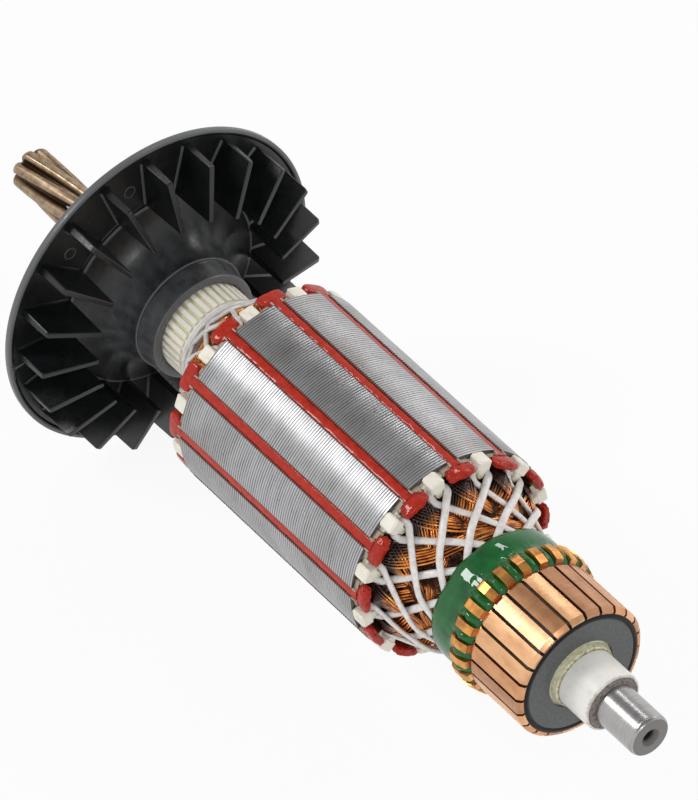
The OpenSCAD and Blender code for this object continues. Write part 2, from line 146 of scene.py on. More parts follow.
class Shape:
    """Points and faces gathered from skins, tubes and turned profiles."""

    def __init__(self):
        self.points = []
        self.faces = []
        self.strand = []

    def skin(self, rings, round_ring=True, closed=False, caps=True):
        """Quads over a row of rings; round rings close on themselves, closed rows join up."""
        base = len(self.points)
        count = len(rings[0])
        for ring in rings:
            self.points.extend(ring)
        rows = len(rings) if closed else len(rings) - 1
        for i in range(rows):
            low = base + i * count
            high = base + (i + 1) % len(rings) * count
            for k in range(count if round_ring else count - 1):
                after = (k + 1) % count
                self.faces.append((low + k, low + after, high + after, high + k))
        if caps and round_ring and not closed:
            self.faces.append(tuple(base + k for k in reversed(range(count))))
            self.faces.append(tuple(base + (len(rings) - 1) * count + k for k in range(count)))

    def tube(self, path, half_width, half_height, sides, number=None):
        """A tube along points, flat against the shaft; the halves may be functions of 0..1.

        With a number, each point keeps how far along its own strand it is, and the number.
        """
        rings = []
        last = len(path) - 1
        gone = 0.0
        for i, point in enumerate(path):
            before = path[max(i - 1, 0)]
            gone += (point - before).length / MM
            if number is not None:
                self.strand.extend([(gone, number, 0.0)] * sides)
            ahead = (path[min(i + 1, last)] - before).normalized()
            out = Vector((0, point.y, point.z)).normalized()
            up = (out - ahead * out.dot(ahead)).normalized()
            side = ahead.cross(up)
            wide = half_width(i / last) if callable(half_width) else half_width
            high = half_height(i / last) if callable(half_height) else half_height
            ring = []
            for k in range(sides):
                angle = 2 * math.pi * (k + 0.5) / sides
                ring.append(point + (side * wide * math.cos(angle) + up * high * math.sin(angle)) * MM)
            rings.append(ring)
        self.skin(rings)

    def turned(self, profile, steps, warp=None, closed_profile=False):
        """A profile of (x, radius) turned about the shaft; warp(x, r, turn) may move a point."""
        rings = []
        for k in range(steps):
            turn = 360 * k / steps
            ring = []
            for x, radius in profile:
                spot = (x, radius) if warp is None else warp(x, radius, turn)
                ring.append(at(spot[0], spot[1], turn))
            rings.append(ring)
        self.skin(rings, round_ring=closed_profile, closed=True, caps=False)

    def piece(self, name, material, slot, sharp):
        """The gathered shape as an object that rides on the armature."""
        mesh = bpy.data.meshes.new(name)
        mesh.from_pydata(self.points, [], self.faces)
        if self.strand:
            lay = mesh.attributes.new("strand", "FLOAT_VECTOR", "POINT")
            lay.data.foreach_set("vector", [c for spot in self.strand for c in spot])
        mesh.validate()
        for polygon in mesh.polygons:
            polygon.use_smooth = True
        mesh.set_sharp_from_angle(angle=math.radians(sharp))
        mesh.materials.append(material)
        thing = new_object(name, mesh)
        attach(thing, "root")
        return thing


def rounded(points, radius, steps=3):
    """A closed outline with each corner rounded by at most a radius."""
    outline = []
    count = len(points)
    for i, point in enumerate(points):
        back = points[i - 1] - point
        ahead = points[(i + 1) % count] - point
        cut = min(radius, back.length * 0.45, ahead.length * 0.45)
        start, stop = point + back.normalized() * cut, point + ahead.normalized() * cut
        for k in range(steps + 1):
            t = k / steps
            outline.append(start * (1 - t) ** 2 + point * 2 * t * (1 - t) + stop * t * t)
    return outline


def smooth_path(points, steps):
    """A path through the points, rounded by Catmull-Rom pieces."""
    full = [points[0] * 2 - points[1]] + points + [points[-1] * 2 - points[-2]]
    path = []
    for i in range(1, len(full) - 2):
        a, b, c, d = full[i - 1:i + 3]
        for k in range(steps):
            t = k / steps
            path.append(0.5 * (2 * b + (c - a) * t + (2 * a - 5 * b + 4 * c - d) * t * t
                               + (3 * b - a - 3 * c + d) * t ** 3))
    path.append(points[-1])
    return path


# ---- Materials ----

def feed(tree, socket, value):
    """Links a socket to another node's output, or gives it a fixed value."""
    if isinstance(value, bpy.types.NodeSocket):
        tree.links.new(value, socket)
    else:
        socket.default_value = value


class Look:
    """A material with a Principled shader, and short calls that add nodes to it."""

    def __init__(self, name, colour, **fixed):
        self.material = bpy.data.materials.new(name)
        self.material.use_nodes = True
        self.material.diffuse_color = (*colour, 1)
        self.tree = self.material.node_tree
        self.shader = self.tree.nodes["Principled BSDF"]
        self.set("Base Color", (*colour, 1))
        self.set("Subsurface Radius", (1.0, 0.8, 0.7))
        for socket, value in fixed.items():
            self.set(socket.replace("_", " ").title().replace("Ior", "IOR"), value)
        where = self.add("TexCoord")
        self.place = self.add("VectorMath", operation="SCALE",
                              inputs={0: where.outputs["Object"], "Scale": 1 / MM}).outputs[0]
        self.x, y, z = self.add("SeparateXYZ", inputs={0: self.place}).outputs
        self.radius = self.maths("SQRT", self.maths("ADD", self.times(y, y), self.times(z, z)))

    def set(self, socket, value):
        """Sets or links an input of the shader."""
        feed(self.tree, self.shader.inputs[socket], value)

    def add(self, kind, inputs=None, **settings):
        """A new node of a kind, with its settings and inputs."""
        node = self.tree.nodes.new("ShaderNode" + kind)
        for key, value in settings.items():
            setattr(node, key, value)
        for key, value in (inputs or {}).items():
            feed(self.tree, node.inputs[key], value)
        return node

    def maths(self, operation, *values):
        """The result of a Math node."""
        return self.add("Math", operation=operation, inputs=dict(enumerate(values))).outputs[0]

    def times(self, first, second):
        """The product of two values."""
        return self.maths("MULTIPLY", first, second)

    def spread(self, value, low, high, to_low=0.0, to_high=1.0):
        """Maps low..high of a value to another range, held at its ends."""
        return self.add("MapRange",
                        inputs={0: value, 1: low, 2: high, 3: to_low, 4: to_high}).outputs[0]

    def stretched(self, x, y, z):
        """The place in millimetres, scaled along each axis."""
        return self.add("VectorMath", operation="MULTIPLY",
                        inputs={0: self.place, 1: (x, y, z)}).outputs[0]

    def round_place(self, along, radial, around):
        """A place made of station, radius and turn, so that patterns follow the turning."""
        outward = self.add("VectorMath", operation="NORMALIZE",
                           inputs={0: self.stretched(0, 1, 1)}).outputs[0]
        circle = self.add("VectorMath", operation="SCALE",
                          inputs={0: outward, "Scale": around * 180 / math.pi}).outputs[0]
        along_shaft = self.maths("ADD", self.times(self.x, along), self.times(self.radius, radial))
        line = self.add("CombineXYZ", inputs={0: along_shaft}).outputs[0]
        return self.add("VectorMath", operation="ADD", inputs={0: circle, 1: line}).outputs[0]

    def noise(self, scale, detail, place=None):
        """Noise of 0..1 over a place, scale waves to its unit."""
        return self.add("TexNoise", inputs={"Vector": place or self.place, "Scale": scale,
                                            "Detail": detail, "Roughness": 0.55}).outputs[0]

    def ramp(self, value, *stops):
        """A colour ramp from (position, colour) stops."""
        node = self.add("ValToRGB", inputs={0: value})
        row = node.color_ramp.elements
        while len(row) < len(stops):
            row.new(0.5)
        for element, (position, colour) in zip(row, stops):
            element.position = position
            element.color = (*colour, 1)
        return node.outputs[0]

    def mix(self, share, first, second):
        """A colour that goes from the first to the second with the share."""
        node = self.add("Mix", data_type="RGBA", inputs={0: share})
        for key, colour in ((6, first), (7, second)):
            fixed = isinstance(colour, tuple)
            feed(self.tree, node.inputs[key], (*colour, 1) if fixed else colour)
        return node.outputs[2]

    def bump(self, height, depth, strength):
        """Relief from a height of 0..1, depth millimetres deep."""
        relief = self.add("Bump", inputs={"Height": height, "Distance": depth * MM,
                                          "Strength": strength})
        self.set("Normal", relief.outputs[0])


def lamination_look():
    """Turned stack of steel sheets: dark joints between them, stains, marks and a few scratches."""
    look = Look("lamination_steel", (0.5, 0.5, 0.52), metallic=1.0, roughness=0.3,
                anisotropic=0.6, anisotropic_rotation=0.25)
    look.set("Tangent", look.add("Tangent", direction_type="RADIAL", axis="X").outputs[0])
    joint = look.spread(look.maths("PINGPONG", look.x, sheet / 2), 0.02, 0.17, 1.0, 0.0)
    own = look.noise(1.0, 0.0, look.round_place(1 / sheet * 2.3, 0.0, 0.004))
    stain = look.noise(0.35, 5.0, look.round_place(0.35, 0.0, 0.07))
    scuff = look.noise(0.5, 4.0, look.round_place(0.5, 0.0, 0.12))
    steel = look.ramp(stain, (0.3, (0.38, 0.36, 0.35)), (0.5, (0.48, 0.48, 0.49)),
                      (0.72, (0.56, 0.56, 0.58)))
    steel = look.mix(look.spread(own, 0.3, 0.75, 0.0, 0.16), steel, (0.32, 0.32, 0.33))
    marks = look.noise(1.6, 3.0, look.round_place(0.9, 0.0, 0.5))
    steel = look.mix(look.spread(marks, 0.66, 0.72, 0.0, 0.6), steel, (0.10, 0.09, 0.08))
    curl = look.maths("ABSOLUTE", look.maths("SUBTRACT", look.noise(0.55, 2.0), 0.5))
    scratch = look.times(look.spread(curl, 0.0, 0.006, 0.7, 0.0),
                         look.spread(look.noise(0.16, 1.0), 0.50, 0.58))
    steel = look.mix(scratch, steel, (0.85, 0.85, 0.86))
    depth = look.spread(look.noise(0.8, 2.0, look.round_place(1.1, 0.0, 0.10)), 0.3, 0.7, 0.60, 1.0)
    line = look.times(joint, depth)
    look.set("Base Color", look.mix(line, steel, (0.06, 0.055, 0.055)))
    look.set("Roughness", look.spread(scuff, 0.3, 0.7, 0.34, 0.42))
    look.bump(look.maths("SUBTRACT", 1.0, line), 0.06, 0.7)
    return look.material


def resin_look():
    """Glossy red resin, smooth along the slots and lumpy on the heads."""
    look = Look("red_resin", (0.42, 0.018, 0.009), roughness=0.35, specular_ior_level=0.1,
                coat_weight=0.4, coat_roughness=0.05)
    tone = look.noise(0.9, 4.0)
    look.set("Base Color", look.ramp(tone, (0.3, (0.34, 0.012, 0.004)), (0.55, (0.45, 0.020, 0.006)),
                                     (0.8, (0.54, 0.040, 0.013))))
    heads = look.maths("MAXIMUM", look.spread(look.x, core_front, core_front + 0.6),
                       look.spread(look.x, core_rear, core_rear - 0.6))
    ripple = look.times(look.noise(0.9, 2.0), 0.25)
    lumps = look.times(look.noise(2.3, 3.0), heads)
    look.bump(look.maths("ADD", ripple, lumps), 0.35, 0.8)
    return look.material


def liner_look():
    """Brown varnished paper whose edge follows the sheets, paler where it leaves the core."""
    look = Look("liner_paper", (0.06, 0.02, 0.012), roughness=0.35)
    tooth = look.maths("PINGPONG", look.x, sheet / 2)
    outside = look.maths("MAXIMUM", look.spread(look.x, core_front, core_front + 0.1),
                         look.spread(look.x, core_rear, core_rear - 0.1))
    edge = look.mix(look.spread(tooth, 0.08, 0.2), (0.03, 0.010, 0.007), (0.22, 0.09, 0.06))
    look.set("Base Color", look.mix(outside, edge, (0.42, 0.36, 0.27)))
    look.bump(tooth, 0.2, 0.8)
    return look.material


def insulator_look():
    """Ivory moulding, warmer and darker towards the core by painted shade."""
    look = Look("ivory_moulding", (0.78, 0.72, 0.58), roughness=0.38, subsurface_weight=0.12,
                subsurface_scale=0.6 * MM)
    tone = look.noise(0.7, 4.0)
    ivory = look.ramp(tone, (0.25, (0.72, 0.66, 0.52)), (0.45, (0.84, 0.80, 0.69)),
                      (0.75, (0.88, 0.85, 0.77)))
    # Painted shade: close to the core the ivory turns a darker brownish yellow.
    low = look.spread(look.radius, core_r - 3.4, core_r - 2.2)
    look.set("Base Color", look.mix(low, (0.60, 0.53, 0.38), ivory))
    return look.material


def wire_look():
    """Copper wire under orange enamel and clear varnish, with painted glints and painted shade along the
    strands, and near black by painted shade where it leaves the slots.
    """
    look = Look("enamelled_wire", (0.62, 0.20, 0.05), metallic=0.7, roughness=0.2, coat_weight=0.9,
                coat_roughness=0.05)
    lay = look.add("Attribute", attribute_name="strand").outputs["Vector"]
    drawn = look.add("VectorMath", operation="MULTIPLY",
                     inputs={0: lay, 1: (0.32, 3.7, 1.0)}).outputs[0]
    tone = look.noise(1.0, 2.0, drawn)
    # Partly random tone of the enamel, partly painted glints and painted shade along each strand.
    orange_with_painted_glints = look.ramp(tone, (0.32, (0.07, 0.016, 0.004)), (0.44, (0.44, 0.11, 0.012)),
                       (0.54, (0.90, 0.28, 0.030)), (0.68, (1.0, 0.52, 0.11)))
    # Painted shade: the strands go near black close to the core faces, where they leave the slots.
    front = look.spread(look.x, core_front + 6.2, core_front + 4.2)
    rear = look.spread(look.x, core_rear - 2.8, core_rear - 1.4)
    shade_at_core = look.times(front, rear)
    look.set("Base Color", look.mix(shade_at_core, orange_with_painted_glints, (0.030, 0.010, 0.005)))
    return look.material


def winding_core_look():
    """Wire deep in the coils, painted dark as the shade between the outer strands."""
    look = Look("winding_core", (0.10, 0.030, 0.010), metallic=0.5, roughness=0.3)
    bend = look.times(look.noise(0.25, 2.0), 9.0)
    strand = look.maths("PINGPONG", look.maths("ADD", look.x, bend), 0.21)
    crest = look.spread(strand, 0.04, 0.19)
    shade = look.ramp(look.noise(0.5, 2.0), (0.35, (0.05, 0.014, 0.005)), (0.65, (0.34, 0.10, 0.022)))
    # Painted shade: the grooves between the wires go near black.
    look.set("Base Color", look.mix(crest, (0.008, 0.003, 0.002), shade))
    look.bump(crest, 0.18, 0.9)
    return look.material


def cord_look():
    """Varnished lacing cord: off-white, a little translucent, with faint fibres."""
    look = Look("waxed_cord", (0.72, 0.71, 0.72), roughness=0.34, subsurface_weight=0.15,
                subsurface_scale=0.8 * MM, coat_weight=0.4, coat_roughness=0.15)
    tone = look.noise(1.1, 4.0)
    look.set("Base Color", look.ramp(tone, (0.3, (0.66, 0.63, 0.60)), (0.55, (0.80, 0.78, 0.76)),
                                     (0.8, (0.87, 0.85, 0.82))))
    look.bump(look.noise(4.5, 4.0), 0.06, 0.5)
    return look.material


def varnish_look():
    """Thick green insulating varnish, glossy and darker where it pools."""
    look = Look("green_varnish", (0.001, 0.13, 0.025), roughness=0.5, specular_ior_level=0.1,
                coat_weight=0.8, coat_roughness=0.02)
    pool = look.noise(0.45, 3.0)
    look.set("Base Color", look.ramp(pool, (0.3, (0.0, 0.075, 0.011)), (0.6, (0.0, 0.120, 0.018)),
                                     (0.85, (0.001, 0.17, 0.033))))
    return look.material


def copper_look(name, tint):
    """Turned copper bar with a heat-gilded hook behind the brush track."""
    look = Look(name, tint, metallic=1.0, roughness=0.24)
    step = hub_face - track_len
    rings = look.noise(1.0, 2.0, look.round_place(9.0, 0.0, 0.02))
    tarnish = look.noise(0.5, 4.0, look.stretched(0.5, 1.0, 1.0))
    body = look.mix(look.spread(tarnish, 0.38, 0.68, 0.0, 0.75), tint,
                    (tint[0] * 0.66, tint[1] * 0.56, tint[2] * 0.52))
    body = look.mix(look.spread(rings, 0.4, 0.7, 0.0, 0.25), body, (0.88, 0.52, 0.28))
    behind = look.spread(look.x, step + 0.1, step - 0.2)
    gilt = look.times(behind, look.spread(look.radius, hook_foot_r, hook_foot_r + 0.4))
    gold = look.ramp(look.noise(0.5, 2.0), (0.35, (0.46, 0.20, 0.070)), (0.6, (0.80, 0.38, 0.10)))
    look.set("Base Color", look.mix(gilt, body, gold))
    worn = look.noise(3.0, 4.0, look.round_place(2.0, 0.0, 0.3))
    look.set("Roughness", look.spread(worn, 0.3, 0.7, 0.30, 0.38))
    look.bump(rings, 0.02, 0.5)
    return look.material


def hub_look():
    """Black moulding with a satin face, blacker at its rim."""
    look = Look("hub_moulding", (0.03, 0.032, 0.033), roughness=0.45)
    grain = look.noise(1.6, 5.0)
    rim = look.spread(look.radius, hub_face_r - 0.05, hub_face_r + 0.15)
    satin = look.ramp(grain, (0.3, (0.054, 0.059, 0.060)), (0.7, (0.105, 0.112, 0.112)))
    look.set("Base Color", look.mix(rim, satin, (0.008, 0.007, 0.007)))
    look.set("Roughness", look.spread(grain, 0.3, 0.7, 0.40, 0.56))
    look.bump(grain, 0.04, 0.4)
    return look.material


def bead_look():
    """Black resin, polished where it was turned with the bars."""
    look = Look("hub_bead", (0.006, 0.005, 0.005), roughness=0.3, specular_ior_level=0.05,
                coat_weight=0.3, coat_roughness=0.05)
    smear = look.noise(0.8, 3.0)
    look.set("Base Color", look.ramp(smear, (0.35, (0.003, 0.002, 0.002)),
                                     (0.75, (0.010, 0.007, 0.006))))
    look.bump(look.noise(0.9, 2.0), 0.10, 0.5)
    return look.material


def adhesive_look():
    """Yellowish adhesive with an olive seam where it meets the sleeve."""
    look = Look("adhesive", (0.50, 0.44, 0.24), roughness=0.3, coat_weight=0.5, coat_roughness=0.1,
                subsurface_weight=0.2, subsurface_scale=0.8 * MM)
    yellow = look.ramp(look.noise(1.2, 3.0), (0.3, (0.62, 0.57, 0.34)), (0.55, (0.82, 0.79, 0.56)),
                       (0.8, (0.88, 0.87, 0.72)))
    lumps = look.noise(1.5, 3.0)
    wavy_radius = look.maths("ADD", look.radius, look.times(lumps, 0.6))
    seam = look.spread(wavy_radius, 6.35, 6.0)
    look.set("Base Color", look.mix(seam, yellow, (0.13, 0.11, 0.04)))
    look.bump(lumps, 0.3, 0.7)
    return look.material


def sleeve_look():
    """White sleeve, grimy at its front rim and yellowish between the splines under the fan."""
    look = Look("sleeve_plastic", (0.80, 0.78, 0.72), roughness=0.4, subsurface_weight=0.15,
                subsurface_scale=0.8 * MM)
    tone = look.noise(0.9, 4.0)
    white = look.ramp(tone, (0.25, (0.80, 0.76, 0.66)), (0.42, (0.90, 0.88, 0.83)),
                      (0.8, (0.93, 0.91, 0.87)))
    worn = look.maths("ADD", look.spread(look.x, shoulder - 1.6, shoulder), look.noise(0.9, 5.0))
    white = look.mix(look.spread(worn, 1.15, 1.6, 0.0, 0.75), white, (0.30, 0.25, 0.19))
    in_splines = look.spread(look.x, spline_front, spline_front - 0.3)
    on_crest = look.spread(look.radius, spline_root_r, spline_root_r + 0.35)
    spline_colour = look.mix(on_crest, (0.84, 0.78, 0.54), (0.94, 0.92, 0.85))
    look.set("Base Color", look.mix(in_splines, white, spline_colour))
    look.bump(look.noise(2.0, 4.0), 0.06, 0.5)
    return look.material


def shaft_look():
    """Ground seats, a dull end face, a centre hole painted near black as shade, and a rough stained
    shoulder.
    """
    look = Look("shaft_steel", (0.60, 0.60, 0.60), metallic=1.0, roughness=0.2)
    turning = look.noise(1.0, 3.0, look.round_place(7.0, 4.0, 0.03))
    stain = look.noise(2.0, 4.0)
    ground = look.ramp(turning, (0.3, (0.33, 0.32, 0.32)), (0.7, (0.47, 0.46, 0.455)))
    dirty = look.ramp(stain, (0.35, (0.10, 0.08, 0.07)), (0.55, (0.30, 0.27, 0.25)),
                      (0.7, (0.28, 0.14, 0.10)))
    off_seat = look.spread(look.radius, seat_r + 0.01, seat_r + 0.03)
    on_shoulder = look.times(off_seat, look.spread(look.x, shoulder - 3.5, shoulder - 3.4))
    colour = look.mix(on_shoulder, ground, dirty)
    end_face = look.spread(look.x, shaft_end - 0.12, shaft_end - 0.08)
    colour = look.mix(end_face, colour, (0.30, 0.29, 0.28))
    at_end = look.spread(look.x, shoulder + 2.5, shoulder + 3.5)
    cone = look.spread(look.radius, centre_cone_r + 0.04, centre_cone_r)
    # Painted shade: inside the centre hole the steel is coloured near black.
    hole = look.spread(look.radius, centre_hole_r + 0.35, centre_hole_r + 0.02)
    in_cone = look.times(cone, at_end)
    shade_in_hole = look.times(hole, at_end)
    colour = look.mix(in_cone, colour, (0.20, 0.18, 0.165))
    look.set("Base Color", look.mix(shade_in_hole, colour, (0.012, 0.009, 0.008)))
    dull = look.maths("MAXIMUM", look.maths("MAXIMUM", end_face, on_shoulder), in_cone)
    look.set("Roughness", look.maths("ADD", look.spread(turning, 0.3, 0.7, 0.27, 0.31),
                                     look.times(dull, 0.50)))
    plain = look.maths("MAXIMUM", on_shoulder, in_cone)
    look.set("Metallic", look.maths("SUBTRACT", 1.0, look.times(plain, 0.75)))
    where_rough = look.maths("MAXIMUM", on_shoulder, look.times(end_face, 0.3))
    rough = look.times(look.noise(2.6, 3.0), where_rough)
    look.bump(look.maths("ADD", look.times(turning, 0.015), rough), 0.20, 0.6)
    return look.material


def pinion_look():
    """Hardened teeth, tempered to a bronze tint, with painted shade darkening the grooves."""
    look = Look("pinion_steel", (0.40, 0.30, 0.21), metallic=1.0, roughness=0.3)
    stain = look.noise(0.7, 4.0)
    bronze = look.ramp(stain, (0.3, (0.20, 0.135, 0.085)), (0.52, (0.36, 0.26, 0.17)),
                       (0.75, (0.46, 0.36, 0.25)))
    # Painted shade: the colour darkens from the crests down into the grooves.
    groove_shade = look.spread(look.radius, pinion_tip_r - 0.3, pinion_root_r + 0.5)
    look.set("Base Color", look.mix(groove_shade, bronze, (0.085, 0.055, 0.035)))
    look.set("Roughness", look.spread(look.noise(1.6, 4.0), 0.3, 0.7, 0.30, 0.46))
    return look.material


def fan_look():
    """Satin black plastic with scuffs, its edges lightened by a painted highlight and its horn greyer by a
    cloudy mottle with painted sheen.
    """
    look = Look("fan_plastic", (0.03, 0.032, 0.036), roughness=0.36)
    tone = look.noise(0.25, 5.0)
    scuff = look.noise(1.4, 6.0, look.stretched(1.0, 1.0, 0.25))
    # Painted highlight: sharp edges found by pointiness get a lighter grey.
    edge = look.maths("GREATER_THAN", look.add("NewGeometry").outputs["Pointiness"], 0.53)
    black = look.ramp(tone, (0.3, (0.003, 0.004, 0.004)), (0.7, (0.009, 0.010, 0.011)))
    # On the horn: a cloudy mottle of the plastic together with painted sheen, lighter grey.
    mottle_and_painted_sheen = look.ramp(look.noise(0.35, 5.0), (0.35, (0.007, 0.008, 0.009)), (0.7, (0.040, 0.046, 0.050)))
    horn = look.times(look.spread(look.x, fan_back + 3.5, fan_back + 5.5),
                      look.spread(look.radius, flare_r, flare_r - 0.6))
    skin = look.mix(horn, black, mottle_and_painted_sheen)
    look.set("Base Color", look.mix(edge, skin, (0.10, 0.105, 0.11)))
    look.set("Roughness", look.spread(scuff, 0.3, 0.7, 0.26, 0.44))
    look.bump(look.noise(2.5, 4.0), 0.03, 0.5)
    return look.material


# ---- Hub ----

def hub_bead(material):
    """The glossy rounded shoulder between the bars and the face of the hub."""
    crest_r = 11.35
    proud = 0.10
    depth = 0.75
    inner = quarter(hub_face - 0.2, crest_r, -proud - 0.2, crest_r - hub_face_r, range(0, 90, 15))
    outer = quarter(hub_face + proud - depth, crest_r, -depth, crest_r - hub_rim_r, range(90, -1, -10))
    back = [(hub_face - 1.2, hub_rim_r), (hub_face - 1.2, hub_face_r)]
    shape = Shape()
    shape.turned([(hub_face - 0.6, hub_face_r), *inner, *outer, *back], 144, closed_profile=True)
    shape.piece("hub_bead", material, "hub_moulding", sharp=60)


# ---- Fan ----

def fan_piece(material):
    """The fan in one moulding: collar, horn, plate, rim band, vanes and ejector marks."""
    wall = 1.6
    plate = fan_back + wall
    collar_r = 10.65
    horn_r = collar_r + 0.75
    horn_front = fan_collar - 4.4
    horn_len = horn_front - plate - 0.7
    bore_r = 8.8
    horn = quarter(horn_front, flare_r, horn_len, flare_r - horn_r, range(0, 91, 5))
    band = [(0, 1.2), (0.1, 1.05), (0.32, 0.85), (0.35, 0.7), (0.35, 0.25), (0.25, 0.05),
            (0.1, 0), (-0.7, 0), (-0.95, 0.12)]
    profile = [(fan_back, bore_r), (fan_collar - 0.5, bore_r), (fan_collar - 0.1, bore_r + 0.3),
               (fan_collar, bore_r + 0.5), (fan_collar, collar_r - 0.4),
               (fan_collar - 0.12, collar_r - 0.12), (fan_collar - 0.4, collar_r),
               (horn_front + 0.35, collar_r + 0.3), (horn_front + 0.12, collar_r + 0.42),
               (horn_front + 0.1, horn_r - 0.08), *horn,
               (plate + 0.5, flare_r + 0.4), (plate + 0.1, flare_r + 0.5), (plate, flare_r + 0.65),
               *[(plate + dx, fan_r - inset) for dx, inset in band],
               (fan_back + 0.1, fan_r - 1.5), (fan_back, fan_r - 1.75), (fan_back, flare_r),
               (fan_back, flare_r - 0.3)]
    skin = 1.7
    pocket = quarter(horn_front, flare_r, horn_len + skin, flare_r - horn_r + skin, range(84, 30, -6))
    tube_back = [(fan_back + 3, bore_r + skin), (fan_back, bore_r + skin)]
    shape = Shape()
    shape.turned(profile + pocket + tube_back, 180, closed_profile=True)
    vane_count = 21
    first_turn = -8.7
    for i in range(vane_count):
        fan_vane(shape, first_turn + 360 / vane_count * i, plate)
    for i in range(0, vane_count, 2):
        ejector_mark(shape, first_turn + 360 / vane_count * (i + 0.5), plate)
    piece = shape.piece("fan_moulding", material, "fan_plastic", sharp=28)
    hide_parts("fan")


def fan_vane(shape, turn, plate):
    """One vane: a flat radial blade with rounded edges, and a fillet where it meets the plate."""
    inner, outer = 19.8, fan_r - 2
    low, high = 7.6, 10.3
    half = 0.80
    draft = 0.035
    rings = []
    for side, inset in ((-1, 0.15), (-0.72, 0.0), (0.72, 0.0), (1, 0.15)):
        outline = [Vector((plate - 0.4, outer - inset)), Vector((plate + low - inset, outer - inset)),
                   Vector((plate + high - inset, inner + inset)), Vector((plate - 0.4, inner + inset))]
        rings.append([beside(p.x, p.y, side * (half - draft * (p.x - plate)), turn)
                      for p in rounded(outline, 0.45)])
    shape.skin(rings)
    for side in (-1, 1):
        foot = [beside(plate + dx, r, side * (half + dy), turn) for r in (inner + 0.3, outer - 0.3)
                for dx, dy in ((-0.1, -0.1), (-0.1, 0.42), (0.12, 0.13), (0.42, -0.04))]
        shape.skin([foot[:4], foot[4:]])


def ejector_mark(shape, turn, plate):
    """A faint raised ring left by an ejector pin between two vanes."""
    middle, mark_r, steps = 25.0, 1.1, 24
    rings = []
    for wide, high in ((0.16, -0.05), (0.07, 0.07), (-0.07, 0.07), (-0.16, -0.05)):
        ring = []
        for k in range(steps):
            angle = 2 * math.pi * k / steps
            ring.append(beside(plate + high, middle + (mark_r + wide) * math.cos(angle),
                               (mark_r + wide) * math.sin(angle), turn))
        rings.append(ring)
    shape.skin(rings, caps=False)


# ---- Shaft ----

def shaft_piece(material):
    """The shaft with its ground seats and centre hole, and a core for the pinion's teeth."""
    shaft_r = 5.1
    inner_r = pinion_root_r - 0.3
    neck_r = pinion_tip_r + 0.06
    plain = shaft_tip + pinion_len
    run_out = 6
    drive_seat = fan_back - 1.8
    drive_seat_r = 4.5
    drive_neck = drive_seat - 9.5
    swell = [(plain - run_out + run_out * t, inner_r + (neck_r - inner_r) * t ** 1.5)
             for t in (0.2, 0.35, 0.5, 0.65, 0.8, 0.9, 1.0)]
    tip = [(0.95, 0), (0.8, 0.13), (0.7, 0.13), (0.6, 0.05), (0.22, 0.22), (0.06, 0.4), (0, 0.55)]
    profile = [(shaft_tip + 1.2, 0), (shaft_tip + 1.2, inner_r), (plain - run_out, inner_r), *swell,
               (drive_neck, neck_r), (drive_neck + 0.2, drive_seat_r), (drive_seat, drive_seat_r),
               (drive_seat, shaft_r), (shoulder - 0.35, shaft_r), (shoulder - 0.1, shaft_r - 0.1),
               (shoulder, shaft_r - 0.32), (shoulder, seat_r + 0.12), (shoulder + 0.12, seat_r),
               *[(shaft_end - back, seat_r - inset) for back, inset in tip],
               (shaft_end, centre_cone_r + 0.12), (shaft_end - 0.12, centre_cone_r),
               (shaft_end - 1.2, centre_hole_r), (shaft_end - 4, centre_hole_r), (shaft_end - 4.6, 0)]
    shape = Shape()
    shape.turned(profile, 144)
    piece = shape.piece("shaft_turned", material, "shaft_steel", sharp=38)
    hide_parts("shaft")


def pinion_piece(material):
    """The helical teeth: broad rounded crests with narrow grooves between them."""
    teeth = 7
    lead = 2.9
    points = teeth * 24
    depth = pinion_tip_r - pinion_root_r
    stations = [(0.0, 0.80), (0.35, 0.91), (0.9, 1.0)]
    stations += [(0.9 + (pinion_len - 0.6) * k / 46, 1.0) for k in range(1, 47)]
    rings = []
    for along, scale in stations:
        ring = []
        for i in range(points):
            turn = 360 * i / points
            wave = math.cos(math.radians(teeth * turn))
            radius = scale * (pinion_tip_r - depth * ((1 - wave) / 2) ** 2.6)
            ring.append(at(shaft_tip + along, radius, turn - lead * along))
        rings.append(ring)
    shape = Shape()
    shape.skin(rings)
    shape.piece("pinion", material, "shaft_steel", sharp=38)


# ---- End insulators ----

def insulator_piece(name, node, face, way, material):
    """An end insulator: its plate and twelve rounded posts with the lips that hold the cord."""
    shape = Shape()
    plate = 1.0
    rim = core_r - 1.1
    shape.turned([(face, 6.0), (face + way * plate, 6.0), (face + way * plate, rim - 0.2),
                  (face + way * (plate - 0.2), rim), (face, rim)], 120)
    for turn in tooth_turns:
        lacing_post(shape, face, way, turn)
    piece = shape.piece(name, material, "insulator_plastic", sharp=18)
    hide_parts(node)


def lacing_post(shape, face, way, turn):
    """A chamfered block at the rim of the core, on a narrower neck that the cord goes round."""
    foot, top = 17.7, core_r - 0.1
    length, width = 2.9, 2.8
    block = [(foot, 0.3), (foot + 0.25, 0.0), (top - 0.28, 0.0), (top, 0.28)]
    neck_sections = [(16.3, 0.5), (16.55, 0.7), (17.2, 0.72), (18.0, 1.0)]

    def section(radius, low, high, half, corner, steps):
        """A rounded rectangle square to the post."""
        outline = [Vector((low, -half)), Vector((high, -half)), Vector((high, half)), Vector((low, half))]
        return [beside(face + way * p.x, radius, p.y, turn) for p in rounded(outline, corner, steps)]

    shape.skin([section(radius, 0.0, length - inset, width / 2 - inset, 0.24, 1)
                for radius, inset in block])
    shape.skin([section(radius, 1.2, length - 0.1, half, 0.4, 3) for radius, half in neck_sections])


# ---- Red resin in the slots ----

